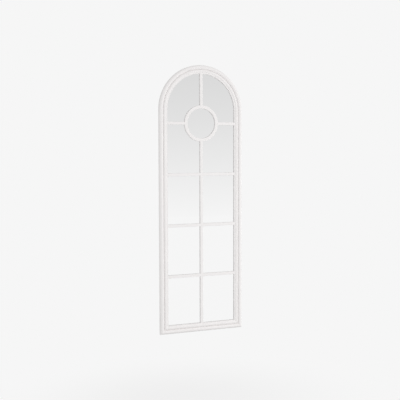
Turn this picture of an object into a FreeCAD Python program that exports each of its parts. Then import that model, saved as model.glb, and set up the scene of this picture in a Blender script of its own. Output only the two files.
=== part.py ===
import FreeCAD
import Part
import math
import os

# Arched window-style wall mirror: a moulded frame, a grille of glazing bars with a round oculus,
# one sheet of mirror glass, a back panel and a pair of ring hangers.
# Millimetres, +Z up, front towards -Y. The origin is the middle of the lower edge on the wall plane.
# Heights called h run forwards from the wall, and insets called u run inwards from the outer edge.

Vec = FreeCAD.Vector
UPWARDS = Vec(0, 0, 1)
ACROSS = Vec(1, 0, 0)
TO_WALL = Vec(0, 1, 0)
TO_FRONT = Vec(0, -1, 0)

# Frame
OVERALL_WIDTH = 600.0
OVERALL_HEIGHT = 1800.0
FRAME_DEPTH = 27.0
FRAME_WIDTH = 56.5
BEAD_WIDTH = 27.5          # outer bead, nearly half round
BEAD_RISE = 10.0
QUIRK_WIDTH = 1.5          # groove between the two beads
CUSHION_WIDTH = 19.5       # inner bead, a flatter arc
CUSHION_RISE = 4.5
LIP_WIDTH = 12.5           # part of the frame in front of the glass
RIM_WIDTH = 18.0           # part of the frame that meets the wall

# Layers from the wall forwards
RECESS_DEPTH = 4.5         # room behind the back panel for the hangers
PANEL_THICKNESS = 2.5
TAPE_THICKNESS = 1.0
GLASS_THICKNESS = 3.0
BAR_THICKNESS = 9.0

# Grille
BAR_WIDTH = 20.0
BAR_ROUND = 2.5            # rounded front edges
ROW_COUNT = 4              # rows of panes from the glass rebate up to the oculus centre
OCULUS_DROP = 388.0        # from the top of the arch down to the oculus centre
OCULUS_DIAMETER = 243.0
OCULUS_BAND = 21.5

# Joinery
TENON_LENGTH = 7.0
TENON_WIDTH = 12.0
TENON_THICKNESS = 3.0      # from the bar's back
DOWEL_DIAMETER = 6.0
DOWEL_LENGTH = 30.0
DOWEL_INSETS = (12.0, 36.0)
BISCUIT_LENGTH = 46.0
BISCUIT_WIDTH = 15.0
BISCUIT_THICKNESS = 4.0
BISCUIT_INSET = 22.0
GLUE_GAP = 0.1             # between glued pieces
SOCKET_END_GAP = 0.5       # past the end of a tenon, dowel or screw
CUT_PAST = 1.0             # how far a cutter runs past the face it opens

# Glass and back panel
GLASS_EDGE_GAP = 2.0
BLOCK_LENGTH = 60.0
BLOCK_SPACING = 300.0
PANEL_EDGE_GAP = 1.0
TAPE_WIDTH = 20.0
TAPE_SPACING = 150.0
TAPE_COUNT = 3
TAPE_END_GAP = 40.0        # from the glass's lower edge, and from the springing line, to the tapes

# Panel screws
SCREW_HEAD_DIAMETER = 6.0
SCREW_HEAD_HEIGHT = 1.8
SCREW_DIAMETER = 3.0
SCREW_LENGTH = 12.0
SCREW_TIP = 3.0
SCREW_HOLE_PLAY = 0.1
STILE_SCREWS = 5
RAIL_SCREWS = 3
ARCH_SCREWS = 2            # in each quarter of the arch
SCREW_END_MARGIN = 90.0    # from a joint of the frame to the nearest screw

# Hangers
HANGER_DROP = 200.0        # from the springing line down to the ring's pivot
STRAP_WIDTH = 14.0
STRAP_LENGTH = 41.0
STRAP_THICKNESS = 0.8
RING_WIRE = 2.5
RING_WIDTH = 24.0          # between the wire's centre lines
RING_HEIGHT = 22.0
RING_CORNER = 4.0
RING_SIDE_GAP = 2.0        # between the ring and the frame's rim
PIVOT_PLAY = 0.08
HANGER_SCREW_DROPS = (11.0, 34.0)
HANGER_SCREW_HEAD_DIAMETER = 6.5
HANGER_SCREW_HEAD_HEIGHT = 2.0
HANGER_SCREW_DIAMETER = 3.5
HANGER_SCREW_LENGTH = 12.0
STRAP_HOLE_PLAY = 0.3

# Levels in front of the wall
ledge = RECESS_DEPTH + PANEL_THICKNESS
glass_back = ledge + TAPE_THICKNESS
glass_front = glass_back + GLASS_THICKNESS
bar_front = glass_front + BAR_THICKNESS
bar_middle = glass_front + BAR_THICKNESS / 2
bead_foot = FRAME_DEPTH - BEAD_RISE
joinery_level = (ledge + bead_foot) / 2

# Places in the outline
half_width = OVERALL_WIDTH / 2
springing = OVERALL_HEIGHT - half_width
glass_rebate = FRAME_WIDTH - LIP_WIDTH
inner_half = half_width - FRAME_WIDTH
oculus_z = OVERALL_HEIGHT - OCULUS_DROP
oculus_radius = OCULUS_DIAMETER / 2
oculus_middle = oculus_radius - OCULUS_BAND / 2
row_pitch = (oculus_z - glass_rebate) / ROW_COUNT
crossbar_heights = [glass_rebate + (row + 1) * row_pitch for row in range(ROW_COUNT - 1)]
screw_inset = (RIM_WIDTH + glass_rebate) / 2

# Places of the hangers
pivot_bore = RING_WIRE / 2 + PIVOT_PLAY
barrel_radius = pivot_bore + STRAP_THICKNESS
pivot_level = RECESS_DEPTH - barrel_radius
strap_back = RECESS_DEPTH - 2 * STRAP_THICKNESS
hanger_inset = RIM_WIDTH + RING_SIDE_GAP + (RING_WIDTH + RING_WIRE) / 2
hanger_x = half_width - hanger_inset
hanger_z = springing - HANGER_DROP


def at(x, h, z):
    """Point from its place across, its height in front of the wall and its height up."""
    return Vec(x, -h, z)


def polyline(points):
    """Straight edges through the points, with repeated points left out."""
    pairs = zip(points[:-1], points[1:])
    return [Part.LineSegment(a, b).toShape() for a, b in pairs if a.distanceToPoint(b) > 1e-6]


def arc(start, middle, end):
    return Part.Arc(start, middle, end).toShape()


def face_of(edges):
    return Part.Face(Part.Wire(edges))


def pin(start, end, radius):
    """Round bar between two points."""
    along = end - start
    return Part.makeCylinder(radius, along.Length, start, along)


def block(x, h, z):
    """Box between the pairs of limits given for x, h and z."""
    low = at(min(x), max(h), min(z))
    return Part.makeBox(abs(x[1] - x[0]), abs(h[1] - h[0]), abs(z[1] - z[0]), low)


def joined(shapes):
    """One solid from pieces that touch."""
    return shapes[0].fuse(shapes[1:]).removeSplitter()


def arched_slab(inset, low, high):
    """Slab with the frame's arched outline, inset from its outer edge, between two levels."""
    side = half_width - inset
    left_foot = at(-side, low, inset)
    right_foot = at(side, low, inset)
    left_spring = at(-side, low, springing)
    right_spring = at(side, low, springing)
    crown = at(0, low, springing + side)
    edges = polyline([left_spring, left_foot, right_foot, right_spring])
    edges.append(arc(right_spring, crown, left_spring))
    return face_of(edges).extrude(at(0, high - low, 0))


def moulding(place):
    """Section of the frame: outer bead, quirk, cushion, flat inner edge, glass and panel rebates."""
    cushion_start = BEAD_WIDTH + QUIRK_WIDTH
    cushion_end = cushion_start + CUSHION_WIDTH
    bead_start = place(0, bead_foot)
    bead_top = place(BEAD_WIDTH / 2, FRAME_DEPTH)
    bead_end = place(BEAD_WIDTH, bead_foot)
    cushion_low = place(cushion_start, bar_front)
    cushion_high = place(cushion_end, bar_front)
    cushion_top = place((cushion_start + cushion_end) / 2, bar_front + CUSHION_RISE)
    rim = [place(RIM_WIDTH, 0), place(0, 0), bead_start]
    quirk = [bead_end, place(cushion_start, bead_foot), cushion_low]
    lip = [cushion_high, place(FRAME_WIDTH, bar_front), place(FRAME_WIDTH, glass_front)]
    rebates = [
        place(FRAME_WIDTH, glass_front),
        place(glass_rebate, glass_front),
        place(glass_rebate, ledge),
        place(RIM_WIDTH, ledge),
        place(RIM_WIDTH, 0),
    ]
    edges = polyline(rim)
    edges.append(arc(bead_start, bead_top, bead_end))
    edges += polyline(quirk)
    edges.append(arc(cushion_low, cushion_top, cushion_high))
    edges += polyline(lip) + polyline(rebates)
    return face_of(edges)


def bar_section(width, place, play=0.0):
    """Section of a glazing bar, or of its cutter with play: flat on the glass, rounded front edges."""
    half = width / 2 + play
    top = bar_front + play
    ease = BAR_ROUND * (1 - math.sqrt(0.5))
    low_end = place(-half, top - BAR_ROUND)
    low_top = place(-half + BAR_ROUND, top)
    high_top = place(half - BAR_ROUND, top)
    high_end = place(half, top - BAR_ROUND)
    edges = polyline([high_end, place(half, glass_front), place(-half, glass_front), low_end])
    edges.append(arc(low_end, place(-half + ease, top - ease), low_top))
    edges += polyline([low_top, high_top])
    edges.append(arc(high_top, place(half - ease, top - ease), high_end))
    return face_of(edges)


def upright(z_low, z_high):
    """Glazing bar on the centre line."""
    section = bar_section(BAR_WIDTH, lambda w, h: at(w, h, z_low))
    return section.extrude(UPWARDS * (z_high - z_low))


def crossing(x_left, x_right, z, play=0.0):
    """Glazing bar from side to side, or its cutter with play."""
    section = bar_section(BAR_WIDTH, lambda w, h: at(x_left, h, z + w), play)
    return section.extrude(ACROSS * (x_right - x_left))


def round_bar(play=0.0):
    """Glazing bar turned about the oculus centre, or its cutter with play."""
    section = bar_section(OCULUS_BAND, lambda w, h: at(oculus_middle + w, h, oculus_z), play)
    return section.revolve(at(0, 0, oculus_z), TO_FRONT, 360)


def tenon_up(z_low, z_high, play=0.0):
    """Tenon flush with the bar's back, or its open-backed socket with play, on the centre line."""
    half = TENON_WIDTH / 2 + play
    return block((-half, half), (glass_front - play, glass_front + TENON_THICKNESS + play), (z_low, z_high))


def tenon_across(x_left, x_right, z, play=0.0):
    """Tenon flush with the bar's back, or its socket, on a bar that runs from side to side."""
    half = TENON_WIDTH / 2 + play
    levels = (glass_front - play, glass_front + TENON_THICKNESS + play)
    return block((x_left, x_right), levels, (z - half, z + half))


# Screws and dowels

def screw(x, z, seat, head_diameter, head_height, diameter, length):
    """Pan-head wood screw whose head sits on a face at level seat, driven towards the front."""
    head = head_diameter / 2
    shank = diameter / 2
    rise = head_height / 2
    dome = (head ** 2 + rise ** 2) / (2 * rise)
    sag = dome - math.sqrt(dome ** 2 - head ** 2 / 4)
    crown = at(x, seat - head_height, z)
    shoulder = at(x + head / 2, seat - head_height + sag, z)
    head_edge = at(x + head, seat - head_height + rise, z)
    outline = [
        head_edge,
        at(x + head, seat, z),
        at(x + shank, seat, z),
        at(x + shank, seat + length - SCREW_TIP, z),
        at(x, seat + length, z),
        crown,
    ]
    edges = [arc(crown, shoulder, head_edge)] + polyline(outline)
    return face_of(edges).revolve(crown, TO_FRONT, 360)


def screw_hole(x, z, diameter, play, depth):
    """Round hole from the wall plane forwards."""
    return pin(at(x, 0, z), at(x, depth, z), diameter / 2 + play)


def panel_screw_places():
    """Places of the panel screws along the stiles, the rail and the arch."""
    places = []
    side = half_width - screw_inset
    low = FRAME_WIDTH + SCREW_END_MARGIN
    step = (springing - SCREW_END_MARGIN - low) / (STILE_SCREWS - 1)
    for count in range(STILE_SCREWS):
        places += [(-side, low + count * step), (side, low + count * step)]
    rail_run = inner_half - SCREW_END_MARGIN
    for count in range(RAIL_SCREWS):
        places.append((rail_run * (2 * count / (RAIL_SCREWS - 1) - 1), screw_inset))
    for count in range(2 * ARCH_SCREWS):
        angle = math.pi * (count + 0.5) / (2 * ARCH_SCREWS)
        places.append((side * math.cos(angle), springing + side * math.sin(angle)))
    return places


def hanger_screw_places():
    """Places of the hanger screws, two down each strap."""
    return [(side * hanger_x, hanger_z - drop) for side in (-1, 1) for drop in HANGER_SCREW_DROPS]


def pilot_holes():
    """Holes in the frame for all the screws that end in it."""
    panel_depth = RECESS_DEPTH + SCREW_LENGTH + SOCKET_END_GAP
    hanger_depth = strap_back + HANGER_SCREW_LENGTH + SOCKET_END_GAP
    holes = [
        screw_hole(x, z, SCREW_DIAMETER, SCREW_HOLE_PLAY, panel_depth) for x, z in panel_screw_places()
    ]
    holes += [
        screw_hole(x, z, HANGER_SCREW_DIAMETER, SCREW_HOLE_PLAY, hanger_depth)
        for x, z in hanger_screw_places()
    ]
    return holes


def dowels(play=0.0, end_gap=0.0):
    """Dowels, or their holes with play, across the springing joints and the crown."""
    radius = DOWEL_DIAMETER / 2 + play
    reach = DOWEL_LENGTH / 2 + end_gap
    pieces = []
    for inset in DOWEL_INSETS:
        side = half_width - inset
        crown = springing + side
        for x in (-side, side):
            pieces.append(pin(at(x, joinery_level, springing - reach),
                              at(x, joinery_level, springing + reach), radius))
        pieces.append(pin(at(-reach, joinery_level, crown), at(reach, joinery_level, crown), radius))
    return pieces


def biscuits(play=0.0):
    """Lens-shaped biscuits, or their slots with play, across the two mitres."""
    width = BISCUIT_WIDTH + 2 * play
    radius = (BISCUIT_LENGTH ** 2 + BISCUIT_WIDTH ** 2) / (4 * BISCUIT_WIDTH)
    shift = (radius + play - width / 2) * math.sqrt(0.5)
    low = joinery_level - BISCUIT_THICKNESS / 2 - play
    high = joinery_level + BISCUIT_THICKNESS / 2 + play
    pieces = []
    for side in (-1, 1):
        x = side * (half_width - BISCUIT_INSET)
        z = BISCUIT_INSET
        inner = pin(at(x - side * shift, low, z - shift), at(x - side * shift, high, z - shift), radius + play)
        outer = pin(at(x + side * shift, low, z + shift), at(x + side * shift, high, z + shift), radius + play)
        pieces.append(inner.common(outer))
    return pieces


# Frame members

def mitre_half(side, above):
    """Prism that takes away one side of a 45 degree mitre at a lower corner."""
    reach = FRAME_WIDTH + CUT_PAST
    outer = side * half_width
    inner = side * (half_width - reach)
    corner = at(outer, -CUT_PAST, 0)
    far = at(inner, -CUT_PAST, reach)
    third = at(outer, -CUT_PAST, reach) if above else at(inner, -CUT_PAST, 0)
    return face_of(polyline([corner, far, third, corner])).extrude(at(0, FRAME_DEPTH + 2 * CUT_PAST, 0))


def frame_sockets():
    """Sockets in the frame for the tenons of the grille."""
    depth = TENON_LENGTH + SOCKET_END_GAP
    crown = springing + inner_half
    sockets = [
        tenon_up(FRAME_WIDTH - depth, FRAME_WIDTH + CUT_PAST, GLUE_GAP),
        tenon_up(crown - CUT_PAST, crown + depth, GLUE_GAP),
    ]
    for z in crossbar_heights + [oculus_z]:
        sockets.append(tenon_across(-inner_half - depth, CUT_PAST - inner_half, z, GLUE_GAP))
        sockets.append(tenon_across(inner_half - CUT_PAST, inner_half + depth, z, GLUE_GAP))
    return sockets


def frame_members():
    """Two stiles, a bottom rail and two quarter arches, drilled and socketed."""
    members = {}
    for name, side in (("left", -1), ("right", 1)):
        foot = moulding(lambda u, h: at(side * (half_width - u), h, 0))
        stile = foot.extrude(UPWARDS * springing)
        members[name + "_stile"] = stile.cut(mitre_half(side, above=False))
        spring = moulding(lambda u, h: at(side * (half_width - u), h, springing))
        turn = TO_WALL if side < 0 else TO_FRONT
        members["arch_" + name] = spring.revolve(at(0, 0, springing), turn, 90)
    end = moulding(lambda u, h: at(-half_width, h, u))
    rail = end.extrude(ACROSS * OVERALL_WIDTH)
    members["bottom_rail"] = rail.cut([mitre_half(-1, above=True), mitre_half(1, above=True)])
    cutters = frame_sockets() + pilot_holes() + biscuits(GLUE_GAP) + dowels(GLUE_GAP, SOCKET_END_GAP)
    return {name: member.cut(cutters) for name, member in members.items()}


# Grille

def oculus_ring():
    """Round glazing bar with a socket at each quarter."""
    inner = oculus_radius - TENON_LENGTH - SOCKET_END_GAP
    outer = oculus_radius + CUT_PAST
    sockets = [
        tenon_up(oculus_z + inner, oculus_z + outer, GLUE_GAP),
        tenon_up(oculus_z - outer, oculus_z - inner, GLUE_GAP),
        tenon_across(-outer, -inner, oculus_z, GLUE_GAP),
        tenon_across(inner, outer, oculus_z, GLUE_GAP),
    ]
    return round_bar().cut(sockets)


def trimmed(bar):
    """Bar cut to the frame's opening and coped over the oculus ring."""
    opening = arched_slab(FRAME_WIDTH + GLUE_GAP, glass_front - CUT_PAST, bar_front + CUT_PAST)
    inside = pin(at(0, 0, oculus_z), at(0, bar_front + CUT_PAST, oculus_z), oculus_middle)
    return bar.common(opening).cut([inside, round_bar(GLUE_GAP)])


def grille_bars():
    """Bars with tenons at their ends, half-lapped and coped where the crossbars pass the long upright."""
    crown = springing + inner_half
    crown_reach = crown + TENON_LENGTH
    oculus_top = oculus_z + oculus_radius
    oculus_foot = oculus_z - oculus_radius
    root = TENON_LENGTH
    bars = {}
    bars["upper_muntin"] = joined([
        trimmed(upright(oculus_z, OVERALL_HEIGHT)),
        tenon_up(oculus_top - TENON_LENGTH, oculus_top + root),
        tenon_up(crown - root, crown_reach),
    ])
    lap = BAR_WIDTH / 2 + GLUE_GAP
    front_half = block((-BAR_WIDTH, BAR_WIDTH), (bar_middle, bar_front + CUT_PAST), (0, oculus_z))
    front_laps = [
        crossing(-BAR_WIDTH, BAR_WIDTH, z, GLUE_GAP).common(front_half) for z in crossbar_heights
    ]
    bars["long_muntin"] = joined([
        trimmed(upright(0, oculus_z)),
        tenon_up(FRAME_WIDTH - TENON_LENGTH, FRAME_WIDTH + root),
        tenon_up(oculus_foot - root, oculus_foot + TENON_LENGTH),
    ]).cut(front_laps)
    for name, side in (("left", -1), ("right", 1)):
        bars[name + "_ring_bar"] = joined([
            trimmed(crossing(min(0, side * half_width), max(0, side * half_width), oculus_z)),
            tenon_across(side * (oculus_radius - TENON_LENGTH), side * (oculus_radius + root), oculus_z),
            tenon_across(side * (inner_half - root), side * (inner_half + TENON_LENGTH), oculus_z),
        ])
    for name, z in zip(crossbar_names(), crossbar_heights):
        back_lap = block((-lap, lap), (glass_front - CUT_PAST, bar_middle), (z - lap, z + lap))
        bars[name] = joined([
            trimmed(crossing(-half_width, half_width, z)),
            tenon_across(-inner_half - TENON_LENGTH, root - inner_half, z),
            tenon_across(inner_half - root, inner_half + TENON_LENGTH, z),
        ]).cut(back_lap)
    return bars


def crossbar_names():
    return ["crossbar_" + str(row + 1) for row in range(len(crossbar_heights))]


# Glass and back panel

def setting_blocks():
    """Two blocks that carry the glass in the rebate of the bottom rail."""
    foot = (glass_rebate, glass_rebate + GLASS_EDGE_GAP)
    middles = (-BLOCK_SPACING / 2, BLOCK_SPACING / 2)
    return [
        block((x - BLOCK_LENGTH / 2, x + BLOCK_LENGTH / 2), (glass_back, glass_front), foot) for x in middles
    ]


def tape_strips():
    """Upright strips that bond the glass to the back panel."""
    run = (glass_rebate + GLASS_EDGE_GAP + TAPE_END_GAP, springing - TAPE_END_GAP)
    middles = [(count - (TAPE_COUNT - 1) / 2) * TAPE_SPACING for count in range(TAPE_COUNT)]
    return [
        block((x - TAPE_WIDTH / 2, x + TAPE_WIDTH / 2), (ledge, glass_back), run) for x in middles
    ]


def back_panel():
    """Arched board let into the frame, drilled for its own screws and the hangers'."""
    board = arched_slab(RIM_WIDTH + PANEL_EDGE_GAP, RECESS_DEPTH, ledge)
    holes = [
        screw_hole(x, z, SCREW_DIAMETER, SCREW_HOLE_PLAY, ledge + CUT_PAST)
        for x, z in panel_screw_places()
    ]
    holes += [
        screw_hole(x, z, HANGER_SCREW_DIAMETER, SCREW_HOLE_PLAY, ledge + CUT_PAST)
        for x, z in hanger_screw_places()
    ]
    return board.cut(holes)


def panel_screws():
    return [
        screw(x, z, RECESS_DEPTH, SCREW_HEAD_DIAMETER, SCREW_HEAD_HEIGHT, SCREW_DIAMETER, SCREW_LENGTH)
        for x, z in panel_screw_places()
    ]


# Hangers

def hanger_plate(x):
    """Folded strap: two leaves on the panel and a barrel round the ring's straight side."""
    half = STRAP_WIDTH / 2
    round_centre = hanger_z - STRAP_LENGTH + half
    leaves = block((x - half, x + half), (strap_back, RECESS_DEPTH), (round_centre, hanger_z))
    end = pin(at(x, strap_back, round_centre), at(x, RECESS_DEPTH, round_centre), half)
    axis_start = at(x - half, pivot_level, hanger_z)
    axis_end = at(x + half, pivot_level, hanger_z)
    plate = joined([leaves, end, pin(axis_start, axis_end, barrel_radius)])
    holes = [
        screw_hole(x, hanger_z - drop, HANGER_SCREW_DIAMETER, STRAP_HOLE_PLAY, RECESS_DEPTH + CUT_PAST)
        for drop in HANGER_SCREW_DROPS
    ]
    return plate.cut(holes + [pin(axis_start, axis_end, pivot_bore)])


def bend(centre, start, tangent, angle):
    """Round wire turned about a centre, from a start point and its direction."""
    disc = Part.Face(Part.Wire(Part.makeCircle(RING_WIRE / 2, start, tangent)))
    return disc.revolve(centre, TO_FRONT, angle)


def hanger_ring(x):
    """D-shaped wire ring, pointing up as it hangs on its hook, with its straight side in the barrel."""
    half = RING_WIDTH / 2
    foot = half - RING_CORNER
    low = hanger_z + RING_CORNER
    high = hanger_z + RING_HEIGHT - half

    def point(across, z):
        return at(x + across, pivot_level, z)

    return joined([
        pin(point(-foot, hanger_z), point(foot, hanger_z), RING_WIRE / 2),
        bend(point(foot, low), point(foot, hanger_z), ACROSS, 90),
        pin(point(half, low), point(half, high), RING_WIRE / 2),
        bend(point(0, high), point(half, high), UPWARDS, 180),
        pin(point(-half, high), point(-half, low), RING_WIRE / 2),
        bend(point(-foot, low), point(-half, low), -UPWARDS, 90),
    ])


def hanger_screws():
    return [
        screw(x, z, strap_back, HANGER_SCREW_HEAD_DIAMETER, HANGER_SCREW_HEAD_HEIGHT,
              HANGER_SCREW_DIAMETER, HANGER_SCREW_LENGTH)
        for x, z in hanger_screw_places()
    ]


def build():
    """All nodes by name."""
    nodes = frame_members()
    nodes["frame_dowels"] = Part.makeCompound(dowels())
    nodes["corner_biscuits"] = Part.makeCompound(biscuits())
    nodes["oculus_ring"] = oculus_ring()
    nodes.update(grille_bars())
    nodes["mirror_glass"] = arched_slab(glass_rebate + GLASS_EDGE_GAP, glass_back, glass_front)
    nodes["setting_blocks"] = Part.makeCompound(setting_blocks())
    nodes["tape_strips"] = Part.makeCompound(tape_strips())
    nodes["back_panel"] = back_panel()
    nodes["panel_screws"] = Part.makeCompound(panel_screws())
    for name, side in (("left", -1), ("right", 1)):
        nodes[name + "_hanger_plate"] = hanger_plate(side * hanger_x)
        nodes[name + "_hanger_ring"] = hanger_ring(side * hanger_x)
    nodes["hanger_screws"] = Part.makeCompound(hanger_screws())
    return nodes


os.makedirs("parts", exist_ok=True)
for node, shape in build().items():
    shape.exportStep("parts/" + node + ".step")
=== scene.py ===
import math

import bpy
import numpy as np
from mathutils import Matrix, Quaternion, Vector


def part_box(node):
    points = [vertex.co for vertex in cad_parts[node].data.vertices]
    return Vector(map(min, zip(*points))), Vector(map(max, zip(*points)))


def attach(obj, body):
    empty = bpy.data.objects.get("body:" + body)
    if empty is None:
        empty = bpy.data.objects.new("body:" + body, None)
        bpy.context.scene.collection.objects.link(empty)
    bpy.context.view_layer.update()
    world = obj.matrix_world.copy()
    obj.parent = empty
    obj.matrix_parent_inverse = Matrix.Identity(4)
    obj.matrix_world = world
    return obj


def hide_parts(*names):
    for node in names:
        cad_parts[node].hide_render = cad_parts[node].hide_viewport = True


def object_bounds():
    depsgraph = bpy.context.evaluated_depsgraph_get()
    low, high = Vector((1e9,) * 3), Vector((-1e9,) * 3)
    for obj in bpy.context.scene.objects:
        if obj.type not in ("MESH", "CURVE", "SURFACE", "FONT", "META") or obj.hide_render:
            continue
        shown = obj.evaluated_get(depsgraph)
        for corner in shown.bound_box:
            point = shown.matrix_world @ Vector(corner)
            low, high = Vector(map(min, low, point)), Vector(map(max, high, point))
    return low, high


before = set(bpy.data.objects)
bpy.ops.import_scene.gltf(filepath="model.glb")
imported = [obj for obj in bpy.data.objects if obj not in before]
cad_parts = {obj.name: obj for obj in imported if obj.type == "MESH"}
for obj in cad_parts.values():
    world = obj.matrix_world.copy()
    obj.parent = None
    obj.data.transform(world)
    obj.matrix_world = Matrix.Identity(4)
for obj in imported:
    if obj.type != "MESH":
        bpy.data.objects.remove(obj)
cad_low, cad_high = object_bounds()

bl_info = {
    "name": "Arched Wall Mirror",
    "version": (1, 0, 0),
    "blender": (4, 5, 0),
    "location": "3D View > Sidebar > Mirror",
    "description": "Finishes, screws and studio of an arched wall mirror with a window grille",
    "category": "Object",
}

UPRIGHT_FRAME = ("left_stile", "right_stile")
UPRIGHT_BARS = ("upper_muntin", "long_muntin")
LEVEL_BARS = ("left_ring_bar", "right_ring_bar", "crossbar_1", "crossbar_2", "crossbar_3")
ARCHES = ("arch_left", "arch_right")
PLATES = ("left_hanger_plate", "right_hanger_plate")
RINGS = ("left_hanger_ring", "right_hanger_ring")

MILLIMETRE = 0.001
ARCH_CENTRE = (0.0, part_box("left_stile")[1].z)
OCULUS_CENTRE = (0.0, (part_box("oculus_ring")[0].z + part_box("oculus_ring")[1].z) / 2)

# Grain of the lacquered wood, in noise waves per metre along x, y and z, or out, through and along a ring
UPRIGHT_FRAME_GRAIN = (160.0, 160.0, 7.0)
LEVEL_FRAME_GRAIN = (7.0, 160.0, 160.0)
UPRIGHT_BAR_GRAIN = (220.0, 220.0, 9.0)
LEVEL_BAR_GRAIN = (9.0, 220.0, 220.0)

# Screws
CROWN_TOLERANCE = 0.01 * MILLIMETRE
ROWS_PER_PITCH = 5
SHARP_EDGE = math.radians(35)
GOLDEN_ANGLE = math.pi * (3 - math.sqrt(5))

# Studio: side and place of each lamp in metres
FRONT_LAMP = (2.4, (0.5, -5.0, 1.1))
RIGHT_LAMP = (2.0, (3.4, -1.6, 1.0))
LEFT_LAMP = (1.6, (-2.8, -0.4, 0.9))
SENSOR_WIDTH = 36.0

# Room that the glass shows: sine of the angle above the horizon, and the tone there
ROOM_FOOT = -0.0894        # the room has the backdrop's own tone below this
ROOM_TONES = ((0.0, 0.807), (0.0366, 0.761), (0.0932, 0.708), (0.5, 0.62), (1.0, 0.7))

# Floor that shows the mirror's shadow, in metres from the mirror's foot
SHADOW_SHARE = 0.3
SHADOW_FADES_FROM = 0.3
SHADOW_FADES_TO = 1.6


# Properties

def length_property(name, description, millimetres):
    """Length that is written in millimetres and kept in metres."""
    return bpy.props.FloatProperty(
        name=name, description=description, default=millimetres * MILLIMETRE,
        min=0.0, precision=5, subtype="DISTANCE", unit="LENGTH")


def colour_property(name, description, default):
    return bpy.props.FloatVectorProperty(
        name=name, description=description, default=default, size=3, min=0.0, max=1.0, subtype="COLOR")


def share_property(name, description, default):
    return bpy.props.FloatProperty(
        name=name, description=description, default=default, min=0.0, max=1.0, subtype="FACTOR")


def angle_property(name, description, degrees):
    return bpy.props.FloatProperty(
        name=name, description=description, default=math.radians(degrees), subtype="ANGLE", unit="ROTATION")


def power_property(name, description, watts):
    return bpy.props.FloatProperty(
        name=name, description=description, default=watts, min=0.0, subtype="POWER", unit="POWER")


class MirrorFinishes(bpy.types.PropertyGroup):
    """Colours and gloss of the mirror's materials."""

    lacquer: colour_property("Lacquer", "White satin lacquer on frame and bars", (0.89, 0.868, 0.864))
    lacquer_shade: colour_property("Lacquer Shade", "Lacquer where it is thinner", (0.878, 0.855, 0.85))
    lacquer_roughness: share_property("Lacquer Roughness", "Satin sheen of the lacquer", 0.42)
    silver: colour_property("Silver", "Tint of the silvered glass", (0.93, 0.93, 0.93))
    hardboard: colour_property("Hardboard", "Face of the back panel", (0.36, 0.23, 0.13))
    hardboard_fleck: colour_property("Hardboard Fleck", "Dark fibres in the back panel", (0.17, 0.10, 0.055))
    beech: colour_property("Beech", "Dowels and biscuits", (0.62, 0.43, 0.26))
    beech_fleck: colour_property("Beech Fleck", "Rays in the beech", (0.42, 0.25, 0.13))
    zinc: colour_property("Zinc", "Plating of screws and hanger straps", (0.66, 0.67, 0.69))
    wire: colour_property("Wire", "Plating of the hanger rings", (0.70, 0.70, 0.71))
    foam: colour_property("Foam", "Bonding tape behind the glass", (0.86, 0.86, 0.84))
    rubber: colour_property("Rubber", "Setting blocks under the glass", (0.035, 0.035, 0.037))


class ScrewSizes(bpy.types.PropertyGroup):
    """Sizes of one kind of pan-head wood screw."""

    head_diameter: length_property("Head Diameter", "Across the head", 6.0)
    head_height: length_property("Head Height", "From the seat to the crown", 1.8)
    shank_diameter: length_property("Shank Diameter", "Over the crests of the thread", 3.0)
    length: length_property("Length", "From the seat to the tip", 12.0)
    tip: length_property("Tip", "Length of the point", 3.0)
    pitch: length_property("Pitch", "From crest to crest", 1.3)
    thread_depth: length_property("Thread Depth", "From crest to root", 0.45)
    wing_width: length_property("Wing Width", "Across one wing of the driver recess", 0.85)
    wing_reach: length_property("Wing Reach", "From the middle to the end of a wing", 1.75)
    recess_depth: length_property("Recess Depth", "Depth of the driver recess at the middle", 1.1)


class MirrorStudio(bpy.types.PropertyGroup):
    """Camera, light and floor of the studio."""

    lens: bpy.props.FloatProperty(
        name="Lens", description="Focal length in millimetres on a 36 mm sensor", default=69.46, min=1.0)
    yaw: angle_property("Yaw", "Camera's turn to the right of the wall's normal", 22.595)
    pitch: angle_property("Pitch", "Camera's tilt downwards", 3.64)
    roll: angle_property("Roll", "Camera's turn about its own axis", 0.161)
    target: bpy.props.FloatVectorProperty(
        name="Target", description="Point that the camera looks at", default=(-0.0037, 0.0, 0.89546),
        size=3, precision=5, subtype="TRANSLATION", unit="LENGTH")
    distance: length_property("Distance", "From the camera to its target", 5234.6)
    backdrop: colour_property("Backdrop", "Pale colour behind the mirror", (0.9216, 0.9216, 0.9216))
    floor_drop: length_property("Floor Drop", "From the mirror's lower edge down to the floor", 600.0)
    floor_reach: length_property("Floor Reach", "Half the side of the floor", 15000.0)
    floor_bounce: share_property("Floor Bounce", "Even light that the floor throws back up", 0.506)
    ambient: share_property("Ambient", "Soft light from all round", 0.68)
    front_power: power_property("Front Lamp", "Power of the large lamp in front", 67.5)
    right_power: power_property("Right Lamp", "Power of the lamp on the right", 36.4)
    left_power: power_property("Left Lamp", "Power of the weak lamp on the left", 8.4)


# Shader nodes

class Wire:
    """Output socket of a node. Arithmetic on it adds Math nodes to the same tree."""

    def __init__(self, net, socket):
        self.net = net
        self.socket = socket

    def maths(self, operation, *terms):
        return self.net.node("ShaderNodeMath", {"operation": operation}, dict(enumerate(terms)))

    def __add__(self, other):
        return self.maths("ADD", self, other)

    def __radd__(self, other):
        return self.maths("ADD", other, self)

    def __sub__(self, other):
        return self.maths("SUBTRACT", self, other)

    def __rsub__(self, other):
        return self.maths("SUBTRACT", other, self)

    def __mul__(self, other):
        return self.maths("MULTIPLY", self, other)

    def __rmul__(self, other):
        return self.maths("MULTIPLY", other, self)

    def __truediv__(self, other):
        return self.maths("DIVIDE", self, other)

    def __rtruediv__(self, other):
        return self.maths("DIVIDE", other, self)

    def __pow__(self, other):
        return self.maths("POWER", self, other)


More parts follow.
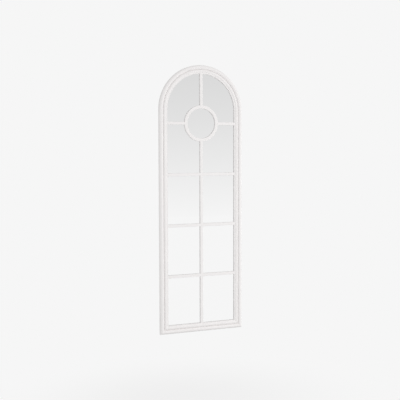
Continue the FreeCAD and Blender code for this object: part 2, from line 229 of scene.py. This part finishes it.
class NodeNet:
    """Node tree of a material or of the world."""

    def __init__(self, owner):
        owner.use_nodes = True
        self.tree = owner.node_tree
        self.tree.nodes.clear()

    def node(self, kind, settings=None, inputs=None, output=0):
        """Adds a node, applies its settings, then sets or links its sockets by name or number."""
        made = self.tree.nodes.new(kind)
        for name, value in (settings or {}).items():
            if name == "stops":
                self.set_stops(made.color_ramp, value)
            else:
                setattr(made, name, value)
        for name, value in (inputs or {}).items():
            if isinstance(value, Wire):
                self.tree.links.new(value.socket, made.inputs[name])
            else:
                made.inputs[name].default_value = value
        return Wire(self, made.outputs[output]) if made.outputs else None

    def set_stops(self, ramp, stops):
        """Gives a colour ramp its stops, pairs of a place and a colour."""
        while len(ramp.elements) < len(stops):
            ramp.elements.new(1.0)
        for element, (place, colour) in zip(ramp.elements, stops):
            element.position = place
            element.color = colour

    def output(self, kind, shader):
        self.node(kind, inputs={"Surface": shader})

    def places(self):
        """Object coordinates, which are the mirror's own metres."""
        return self.node("ShaderNodeTexCoord", output="Object")

    def parts(self, vector):
        """The three numbers of a vector."""
        return [self.node("ShaderNodeSeparateXYZ", inputs={0: vector}, output=axis) for axis in range(3)]

    def scaled(self, vector, scale):
        """Vector with each of its numbers multiplied."""
        return self.node("ShaderNodeVectorMath", {"operation": "MULTIPLY"}, {0: vector, 1: scale})

    def turned(self, vector, angle, sizes):
        """Vector turned about the y axis, then measured in the given sizes."""
        return self.node(
            "ShaderNodeMapping", {"vector_type": "TEXTURE"},
            {"Vector": vector, "Rotation": (0.0, angle, 0.0), "Scale": sizes})

    def noise(self, vector, scale, detail=2.0, roughness=0.5):
        return self.node(
            "ShaderNodeTexNoise", {"noise_dimensions": "3D"},
            {"Vector": vector, "Scale": scale, "Detail": detail, "Roughness": roughness})

    def between(self, share, low, high):
        """Number that goes from low to high as share goes from 0 to 1."""
        return self.node(
            "ShaderNodeMapRange", {"clamp": True},
            {"Value": share, "From Min": 0.0, "From Max": 1.0, "To Min": low, "To Max": high})

    def narrowed(self, share, low, high):
        """Smooth step from 0 at low to 1 at high."""
        return self.node(
            "ShaderNodeMapRange", {"clamp": True, "interpolation_type": "SMOOTHSTEP"},
            {"Value": share, "From Min": low, "From Max": high, "To Min": 0.0, "To Max": 1.0})

    def blend(self, share, low, high):
        """Colour that goes from low to high as share goes from 0 to 1."""
        return self.node(
            "ShaderNodeMix", {"data_type": "RGBA", "blend_type": "MIX", "clamp_factor": True},
            {0: share, 6: opaque(low), 7: opaque(high)}, output=2)

    def bump(self, height, strength, distance):
        return self.node(
            "ShaderNodeBump", inputs={"Height": height, "Strength": strength, "Distance": distance})

    def surface(self, inputs):
        return self.node("ShaderNodeBsdfPrincipled", inputs=inputs)


def opaque(colour):
    """Colour with its fourth number, or a wire as it is."""
    return colour if isinstance(colour, Wire) else (*colour, 1.0)


def new_material(name):
    """Empty material and its net."""
    material = bpy.data.materials.new(name)
    return material, NodeNet(material)


def dress(nodes, material):
    """Gives CAD nodes a finish through their material slots."""
    for name in nodes:
        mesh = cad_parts[name].data
        mesh.materials.clear()
        mesh.materials.append(material)


# Finishes

def around(net, centre):
    """Coordinates that follow a ring: out from its centre, through it and along it."""
    x, y, z = net.parts(net.places())
    across = x - centre[0]
    up = z - centre[1]
    radius = (across * across + up * up) ** 0.5
    angle = across.maths("ARCTAN2", up, across)
    along = angle * radius
    return net.node("ShaderNodeCombineXYZ", inputs={0: radius, 1: y, 2: along})


def lacquer(name, finishes, run, centre=None):
    """Sprayed satin lacquer over sanded wood: faint long grain, finer orange peel, uneven sheen."""
    material, net = new_material(name)
    places = net.places() if centre is None else around(net, centre)
    grain = net.noise(net.scaled(places, run), 1.0, detail=3.0, roughness=0.55)
    peel = net.noise(places, 700.0, detail=1.0)
    cloud = net.noise(places, 9.0, detail=2.0)
    coat = net.narrowed(0.6 * grain + 0.4 * cloud, 0.34, 0.6)
    relief = net.bump(grain + 0.25 * peel, 0.2, 0.05 * MILLIMETRE)
    rough = finishes.lacquer_roughness
    net.output("ShaderNodeOutputMaterial", net.surface({
        "Base Color": net.blend(coat, finishes.lacquer_shade, finishes.lacquer),
        "Roughness": net.between(0.5 * grain + 0.5 * cloud, rough - 0.07, rough + 0.07),
        "IOR": 1.5,
        "Normal": relief,
    }))
    return material


def silvered_glass(finishes):
    """Float glass silvered on its back: a mirror with a trace of haze and of depth in its tint."""
    material, net = new_material("silvered_glass")
    places = net.places()
    haze = net.narrowed(net.noise(places, 5.0, detail=4.0), 0.45, 0.75)
    tint = net.noise(places, 1.7, detail=1.0)
    deeper = [0.992 * part for part in finishes.silver]
    net.output("ShaderNodeOutputMaterial", net.surface({
        "Base Color": net.blend(tint, deeper, finishes.silver),
        "Metallic": 1.0,
        "Roughness": net.between(haze, 0.0, 0.012),
    }))
    return material


def hardboard(finishes):
    """Pressed fibres: short flecks lying every way, faint clouds and a low sheen."""
    material, net = new_material("hardboard")
    places = net.places()
    fleck = (0.9 * MILLIMETRE, 0.9 * MILLIMETRE, 5.0 * MILLIMETRE)
    lays = [net.noise(net.turned(places, math.radians(lay), fleck), 1.0) for lay in (15, 60, 105, 150)]
    cloud = net.noise(places, 14.0, detail=3.0)
    fibre = sum(lays[1:], lays[0]) / len(lays)
    shade = net.narrowed(0.85 * fibre + 0.15 * cloud, 0.41, 0.59)
    net.output("ShaderNodeOutputMaterial", net.surface({
        "Base Color": net.blend(shade, finishes.hardboard_fleck, finishes.hardboard),
        "Roughness": net.between(fibre, 0.5, 0.75),
        "Normal": net.bump(fibre, 0.5, 0.12 * MILLIMETRE),
    }))
    return material


def beech(finishes):
    """Bare beech: fine pores and short darker rays along the piece."""
    material, net = new_material("beech")
    places = net.places()
    rays = net.noise(net.scaled(places, (1400.0, 500.0, 160.0)), 1.0, detail=2.0)
    cloud = net.noise(places, 60.0, detail=3.0)
    shade = net.narrowed(0.6 * rays + 0.4 * cloud, 0.36, 0.58)
    net.output("ShaderNodeOutputMaterial", net.surface({
        "Base Color": net.blend(shade, finishes.beech_fleck, finishes.beech),
        "Roughness": net.between(rays, 0.5, 0.68),
        "Normal": net.bump(rays, 0.4, 0.08 * MILLIMETRE),
    }))
    return material


def plating(name, colour, rough):
    """Bright zinc on steel: fine drawing lines, a mottled sheen and slightly darker patches."""
    material, net = new_material(name)
    places = net.places()
    lines = net.noise(net.scaled(places, (5000.0, 5000.0, 500.0)), 1.0, detail=1.0)
    mottle = net.noise(places, 420.0, detail=3.0, roughness=0.6)
    darker = [0.8 * part for part in colour]
    net.output("ShaderNodeOutputMaterial", net.surface({
        "Base Color": net.blend(net.narrowed(mottle, 0.35, 0.6), darker, colour),
        "Metallic": 1.0,
        "Roughness": net.between(0.5 * lines + 0.5 * mottle, rough - 0.1, rough + 0.1),
        "Normal": net.bump(lines, 0.3, 0.01 * MILLIMETRE),
    }))
    return material


def foam(finishes):
    """Closed-cell foam: small round cells and a matt face."""
    material, net = new_material("foam_tape")
    places = net.places()
    cells = net.node("ShaderNodeTexVoronoi", inputs={"Vector": places, "Scale": 1800.0})
    cloud = net.noise(places, 90.0, detail=2.0)
    darker = [0.9 * part for part in finishes.foam]
    net.output("ShaderNodeOutputMaterial", net.surface({
        "Base Color": net.blend(net.narrowed(cells + 0.3 * cloud, 0.2, 0.7), darker, finishes.foam),
        "Roughness": net.between(cells, 0.75, 0.92),
        "Normal": net.bump(cells, 0.4, 0.1 * MILLIMETRE),
    }))
    return material


def rubber(finishes):
    """Moulded rubber: a fine stipple and dusty patches."""
    material, net = new_material("rubber")
    places = net.places()
    stipple = net.noise(places, 2600.0, detail=1.0)
    dust = net.narrowed(net.noise(places, 160.0, detail=3.0), 0.5, 0.75)
    dusty = [part + 0.05 for part in finishes.rubber]
    net.output("ShaderNodeOutputMaterial", net.surface({
        "Base Color": net.blend(dust, finishes.rubber, dusty),
        "Roughness": net.between(dust, 0.6, 0.85),
        "Normal": net.bump(stipple, 0.3, 0.05 * MILLIMETRE),
    }))
    return material


# Screws

def screw_axes(node):
    """Crown points of the screws in a CAD node: its vertices that lie furthest towards the wall."""
    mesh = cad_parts[node].data
    points = np.empty(len(mesh.vertices) * 3, np.float32)
    mesh.vertices.foreach_get("co", points)
    points = points.reshape(-1, 3).astype(float)
    crowns = points[points[:, 1] > points[:, 1].max() - CROWN_TOLERANCE]
    return np.unique(crowns.round(5), axis=0)


def screw_profile(sizes):
    """Radius and level of a screw's outline from crown to tip, with the share of thread at each point.

    The crown is an arc of a circle through the middle and the head's edge. Below it come the
    head's side, its flat underside, the shank and a straight point. Levels run from the seat.
    """
    head = sizes.head_diameter / 2
    shank = sizes.shank_diameter / 2
    rise = sizes.head_height / 2
    dome = (head ** 2 + rise ** 2) / (2 * rise)
    reach = sizes.wing_reach
    crown = np.concatenate([np.linspace(0.12, 1.0, 9) * reach, np.linspace(reach, head, 6)[1:]])
    crown_level = sizes.head_height - dome + np.sqrt(dome ** 2 - crown ** 2)
    below = np.array([head, head, 0.6 * head + 0.4 * shank, shank])
    below_level = np.array([rise / 2, 0.0, 0.0, 0.0])
    run = sizes.length - sizes.tip
    steps = int(round(run / sizes.pitch * ROWS_PER_PITCH))
    shank_level = -np.linspace(0.0, run, steps + 1)[1:]
    tip_share = np.linspace(0.0, 0.96, 10)[1:]
    radius = np.concatenate([crown, below, np.full(steps, shank), shank * (1 - tip_share)])
    level = np.concatenate([crown_level, below_level, shank_level, -run - sizes.tip * tip_share])
    start = np.clip(-shank_level / (2 * sizes.pitch), 0.0, 1.0)
    thread = np.concatenate([np.zeros(len(crown) + len(below)), start, 1 - tip_share])
    return radius, level, thread


def screw_columns(radius, sizes):
    """Angles of the columns at each radius: in every quarter, columns follow both sides of a wing.

    Within a quarter a column's place runs from -1 to 1. The inner half of the places is spread
    over the wing's own angle at that radius, and the outer half over the rest of the quarter.
    Past the wings the columns ease back to even steps.
    """
    places = np.array([-0.75, -0.53, -0.47, -0.25, 0.0, 0.25, 0.47, 0.53, 0.75, 1.0])
    quarter = math.pi / 4
    wing = np.arcsin(np.clip(sizes.wing_width / 2 / radius, 0.0, math.sin(0.94 * quarter)))
    even = np.clip((radius - sizes.wing_reach) / (sizes.head_diameter / 2 - sizes.wing_reach), 0.0, 1.0)
    even[np.argmax(radius):] = 1.0
    wing = (wing * (1 - even) + quarter / 2 * even)[:, None]
    outward = np.abs(places)
    spread = np.where(outward < 0.5, 2 * outward * wing, wing + (2 * outward - 1) * (quarter - wing))
    turn = np.sign(places) * spread
    return np.concatenate([turn + step * 2 * quarter for step in range(4)], axis=1), np.tile(outward < 0.5, 4)


def screw_grid(sizes):
    """One screw about the axis: points of its rows and columns, then its crown and tip points.

    A point's radius and level come from the outline. Columns inside a wing are sunk by the recess
    depth, which falls in a straight line from the middle to the wing's end. On the shank the
    radius is drawn in by a triangle wave of level over pitch plus the turn, which is the thread.
    """
    radius, level, thread = screw_profile(sizes)
    angle, in_wing = screw_columns(radius, sizes)
    on_crown = np.arange(len(radius)) <= np.argmax(radius)
    fall = np.clip(1 - radius / sizes.wing_reach, 0.0, 1.0) ** 0.5 * on_crown
    sunk = sizes.recess_depth * fall[:, None] * in_wing
    phase = (level[:, None] / sizes.pitch + angle / (2 * math.pi)) % 1.0
    wave = np.clip(np.abs(2 * phase - 1) * 2 - 0.6, 0.0, 1.0)
    drawn = radius[:, None] - sizes.thread_depth * thread[:, None] * (1 - wave)
    drawn = np.maximum(drawn, 0.15 * radius[:, None])
    height = level[:, None] - sunk
    grid = np.stack([drawn * np.cos(angle), height, drawn * np.sin(angle)], axis=-1)
    ends = np.array([[0.0, sizes.head_height - sizes.recess_depth, 0.0], [0.0, -sizes.length, 0.0]])
    return grid, ends


def tube_faces(rows, columns):
    """Faces of a closed tube of rows and columns, with a fan at each end to a point after the grid."""
    row = np.arange(rows - 1)[:, None]
    column = np.arange(columns)[None, :]
    after = (column + 1) % columns
    quads = np.stack([
        row * columns + column,
        row * columns + after,
        (row + 1) * columns + after,
        (row + 1) * columns + column,
    ], axis=-1).reshape(-1, 4)
    first = np.arange(columns)
    second = (first + 1) % columns
    last = (rows - 1) * columns
    crown = np.stack([np.full(columns, rows * columns), second, first], axis=-1)
    tip = np.stack([np.full(columns, rows * columns + 1), last + first, last + second], axis=-1)
    return quads, np.concatenate([crown, tip])


def screw_piece(name, node, sizes, material):
    """All screws of a CAD node as one piece, each turned by its own part of the golden angle."""
    crowns = screw_axes(node)
    grid, ends = screw_grid(sizes)
    single = np.concatenate([grid.reshape(-1, 3), ends])
    turn = np.arange(len(crowns)) * GOLDEN_ANGLE
    cosine = np.cos(turn)[:, None]
    sine = np.sin(turn)[:, None]
    seat = crowns - np.array([0.0, sizes.head_height, 0.0])
    points = np.stack([
        seat[:, :1] + cosine * single[:, 0] - sine * single[:, 2],
        seat[:, 1:2] + single[:, 1],
        seat[:, 2:] + sine * single[:, 0] + cosine * single[:, 2],
    ], axis=-1)
    quads, fans = tube_faces(grid.shape[0], grid.shape[1])
    shift = (np.arange(len(crowns)) * len(single))[:, None, None]
    faces = (quads[None] + shift).reshape(-1, 4).tolist() + (fans[None] + shift).reshape(-1, 3).tolist()
    mesh = bpy.data.meshes.new(name)
    mesh.from_pydata(points.reshape(-1, 3).tolist(), [], faces)
    mesh.materials.append(material)
    piece = bpy.data.objects.new(name, mesh)
    bpy.context.scene.collection.objects.link(piece)
    mesh.shade_smooth()
    mesh.set_sharp_from_angle(angle=SHARP_EDGE)
    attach(piece, "mirror")
    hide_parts(node)
    return piece


# Studio

def backdrop_light(studio, gain):
    """World: an even pale backdrop for the camera, the room for reflections, soft light for the rest.

    The room that the glass reflects darkens upwards from the floor.
    """
    world = bpy.data.worlds.new("studio")
    bpy.context.scene.world = world
    net = NodeNet(world)
    _, _, up = net.parts(net.node("ShaderNodeTexCoord", output="Generated"))
    tones = ((ROOM_FOOT, studio.backdrop[1]), *ROOM_TONES)
    stops = [(0.5 + place / 2, (gain * tone,) * 3 + (1.0,)) for place, tone in tones]
    room = net.node("ShaderNodeValToRGB", {"stops": stops}, {0: 0.5 + 0.5 * up})
    rays = light_paths(net)
    shown = net.blend(rays["Is Glossy Ray"], (studio.ambient,) * 3, room)
    seen = rays["Is Camera Ray"].maths("MAXIMUM", rays["Is Camera Ray"], rays["Is Transmission Ray"])
    colour = net.blend(seen, shown, studio.backdrop)
    net.output("ShaderNodeOutputWorld", net.node("ShaderNodeBackground", inputs={"Color": colour}))


def light_paths(net):
    names = ("Is Camera Ray", "Is Glossy Ray", "Is Transmission Ray")
    return {name: net.node("ShaderNodeLightPath", output=name) for name in names}


def floor_material(studio, gain):
    """Pale floor that goes over into the backdrop, with a lit part round the mirror for its shadow.

    Light that bounces off it is an even glow, which is left out of lamp sampling to keep the grain low.
    """
    material, net = new_material("pale_floor")
    x, y, _ = net.parts(net.places())
    distance = (x * x + y * y) ** 0.5
    lit_share = SHADOW_SHARE * (1 - net.narrowed(distance, SHADOW_FADES_FROM, SHADOW_FADES_TO))
    rays = light_paths(net)
    strength = 1 + (gain - 1) * rays["Is Glossy Ray"]
    seen = rays["Is Camera Ray"] + rays["Is Glossy Ray"] + rays["Is Transmission Ray"]
    lit = net.node("ShaderNodeBsdfDiffuse", inputs={"Color": opaque(studio.backdrop)})
    glow = net.node("ShaderNodeEmission", inputs={"Color": opaque(studio.backdrop), "Strength": strength})
    pale = net.node("ShaderNodeMixShader", inputs={0: lit_share, 1: glow, 2: lit})
    bounce = net.node("ShaderNodeEmission", inputs={"Color": opaque((studio.floor_bounce,) * 3)})
    mixed = net.node("ShaderNodeMixShader", inputs={0: seen, 1: bounce, 2: pale})
    net.output("ShaderNodeOutputMaterial", mixed)
    material.cycles.emission_sampling = "NONE"
    return material


def floor_sheet(studio, gain):
    """Flat square grid: x and y run evenly from minus to plus the reach, at one level."""
    run = np.linspace(-studio.floor_reach, studio.floor_reach, 9)
    x, y = np.meshgrid(run, run, indexing="ij")
    points = np.stack([x, y, np.full_like(x, -studio.floor_drop)], axis=-1).reshape(-1, 3)
    index = np.arange(len(run) ** 2).reshape(len(run), len(run))
    quads = np.stack([index[:-1, :-1], index[1:, :-1], index[1:, 1:], index[:-1, 1:]], axis=-1)
    mesh = bpy.data.meshes.new("floor")
    mesh.from_pydata(points.tolist(), [], quads.reshape(-1, 4).tolist())
    mesh.materials.append(floor_material(studio, gain))
    sheet = bpy.data.objects.new("floor", mesh)
    bpy.context.scene.collection.objects.link(sheet)


def lamp(name, power, size, place, target):
    """Square area lamp that faces a point and doesn't show in the glass."""
    data = bpy.data.lights.new(name, "AREA")
    data.energy = power
    data.size = size
    holder = bpy.data.objects.new(name, data)
    holder.location = place
    holder.rotation_mode = "QUATERNION"
    holder.rotation_quaternion = (Vector(target) - Vector(place)).to_track_quat("-Z", "Y")
    holder.visible_glossy = False
    bpy.context.scene.collection.objects.link(holder)


def camera(studio):
    """Camera that looks at the target along its yaw and pitch, then rolls about that line."""
    level = math.cos(studio.pitch)
    forward = Vector((math.sin(studio.yaw) * level, math.cos(studio.yaw) * level, -math.sin(studio.pitch)))
    data = bpy.data.cameras.new("camera")
    data.lens = studio.lens
    data.sensor_width = SENSOR_WIDTH
    holder = bpy.data.objects.new("camera", data)
    holder.location = Vector(studio.target) - forward * studio.distance
    holder.rotation_mode = "QUATERNION"
    holder.rotation_quaternion = Quaternion(forward, studio.roll) @ forward.to_track_quat("-Z", "Y")
    bpy.context.scene.collection.objects.link(holder)
    bpy.context.scene.camera = holder


# Operators

class ARCHED_MIRROR_OT_frame(bpy.types.Operator):
    """Lacquer the stiles, the bottom rail and the two halves of the arch"""

    bl_idname = "arched_mirror.frame"
    bl_label = "Frame"

    def execute(self, context):
        finishes = context.scene.mirror_finishes
        dress(UPRIGHT_FRAME, lacquer("lacquer_stile", finishes, UPRIGHT_FRAME_GRAIN))
        dress(("bottom_rail",), lacquer("lacquer_rail", finishes, LEVEL_FRAME_GRAIN))
        dress(ARCHES, lacquer("lacquer_arch", finishes, UPRIGHT_FRAME_GRAIN, ARCH_CENTRE))
        return {"FINISHED"}


class ARCHED_MIRROR_OT_grille(bpy.types.Operator):
    """Lacquer the glazing bars and the oculus ring"""

    bl_idname = "arched_mirror.grille"
    bl_label = "Grille"

    def execute(self, context):
        finishes = context.scene.mirror_finishes
        dress(UPRIGHT_BARS, lacquer("lacquer_upright_bar", finishes, UPRIGHT_BAR_GRAIN))
        dress(LEVEL_BARS, lacquer("lacquer_level_bar", finishes, LEVEL_BAR_GRAIN))
        dress(("oculus_ring",), lacquer("lacquer_oculus", finishes, UPRIGHT_BAR_GRAIN, OCULUS_CENTRE))
        return {"FINISHED"}


class ARCHED_MIRROR_OT_glass(bpy.types.Operator):
    """Silver the glass"""

    bl_idname = "arched_mirror.glass"
    bl_label = "Glass"

    def execute(self, context):
        dress(("mirror_glass",), silvered_glass(context.scene.mirror_finishes))
        return {"FINISHED"}


class ARCHED_MIRROR_OT_back(bpy.types.Operator):
    """Finish the back panel, the bonding tape and the setting blocks"""

    bl_idname = "arched_mirror.back"
    bl_label = "Back"

    def execute(self, context):
        finishes = context.scene.mirror_finishes
        dress(("back_panel",), hardboard(finishes))
        dress(("tape_strips",), foam(finishes))
        dress(("setting_blocks",), rubber(finishes))
        return {"FINISHED"}


class ARCHED_MIRROR_OT_joinery(bpy.types.Operator):
    """Finish the dowels and biscuits inside the frame"""

    bl_idname = "arched_mirror.joinery"
    bl_label = "Joinery"

    def execute(self, context):
        dress(("frame_dowels", "corner_biscuits"), beech(context.scene.mirror_finishes))
        return {"FINISHED"}


class ARCHED_MIRROR_OT_hangers(bpy.types.Operator):
    """Plate the hanger straps and rings"""

    bl_idname = "arched_mirror.hangers"
    bl_label = "Hangers"

    def execute(self, context):
        finishes = context.scene.mirror_finishes
        dress(PLATES, plating("zinc_strap", finishes.zinc, 0.32))
        dress(RINGS, plating("zinc_wire", finishes.wire, 0.24))
        return {"FINISHED"}


class ARCHED_MIRROR_OT_screws(bpy.types.Operator):
    """Make the panel screws and the hanger screws with their driver recesses and threads"""

    bl_idname = "arched_mirror.screws"
    bl_label = "Screws"

    def execute(self, context):
        material = plating("zinc_screw", context.scene.mirror_finishes.zinc, 0.28)
        screw_piece("panel_screw_set", "panel_screws", context.scene.panel_screw_sizes, material)
        screw_piece("hanger_screw_set", "hanger_screws", context.scene.hanger_screw_sizes, material)
        return {"FINISHED"}


class ARCHED_MIRROR_OT_studio(bpy.types.Operator):
    """Set up the backdrop, the floor, the lamps and the camera"""

    bl_idname = "arched_mirror.studio"
    bl_label = "Studio"

    def execute(self, context):
        studio = context.scene.mirror_studio
        gain = 1 / context.scene.mirror_finishes.silver[1]
        context.scene.view_settings.view_transform = "Standard"
        backdrop_light(studio, gain)
        floor_sheet(studio, gain)
        middle = (0.0, 0.0, cad_high.z / 2)
        lamp("front_lamp", studio.front_power, *FRONT_LAMP, middle)
        lamp("right_lamp", studio.right_power, *RIGHT_LAMP, middle)
        lamp("left_lamp", studio.left_power, *LEFT_LAMP, middle)
        camera(studio)
        return {"FINISHED"}


STEPS = (
    ARCHED_MIRROR_OT_studio,
    ARCHED_MIRROR_OT_frame,
    ARCHED_MIRROR_OT_grille,
    ARCHED_MIRROR_OT_glass,
    ARCHED_MIRROR_OT_back,
    ARCHED_MIRROR_OT_joinery,
    ARCHED_MIRROR_OT_hangers,
    ARCHED_MIRROR_OT_screws,
)


class ARCHED_MIRROR_PT_panel(bpy.types.Panel):
    """Steps that finish the mirror, with the values that they use"""

    bl_idname = "ARCHED_MIRROR_PT_panel"
    bl_label = "Arched Mirror"
    bl_space_type = "VIEW_3D"
    bl_region_type = "UI"
    bl_category = "Mirror"

    def draw(self, context):
        for step in STEPS:
            self.layout.operator(step.bl_idname)
        for name in SETTINGS:
            box = self.layout.box()
            box.label(text=name.replace("_", " ").title())
            group = getattr(context.scene, name)
            for value in group.__annotations__:
                box.prop(group, value)


SETTINGS = {
    "mirror_finishes": MirrorFinishes,
    "panel_screw_sizes": ScrewSizes,
    "hanger_screw_sizes": ScrewSizes,
    "mirror_studio": MirrorStudio,
}
CLASSES = (MirrorFinishes, ScrewSizes, MirrorStudio, *STEPS, ARCHED_MIRROR_PT_panel)


def register():
    for made in CLASSES:
        bpy.utils.register_class(made)
    for name, group in SETTINGS.items():
        setattr(bpy.types.Scene, name, bpy.props.PointerProperty(type=group))


def unregister():
    for name in SETTINGS:
        delattr(bpy.types.Scene, name)
    for made in reversed(CLASSES):
        bpy.utils.unregister_class(made)


def main():
    register()
    larger = bpy.context.scene.hanger_screw_sizes
    larger.head_diameter = 6.5 * MILLIMETRE
    larger.head_height = 2.0 * MILLIMETRE
    larger.shank_diameter = 3.5 * MILLIMETRE
    for step in STEPS:
        group, name = step.bl_idname.split(".")
        getattr(getattr(bpy.ops, group), name)()


if __name__ == "__main__":
    main()
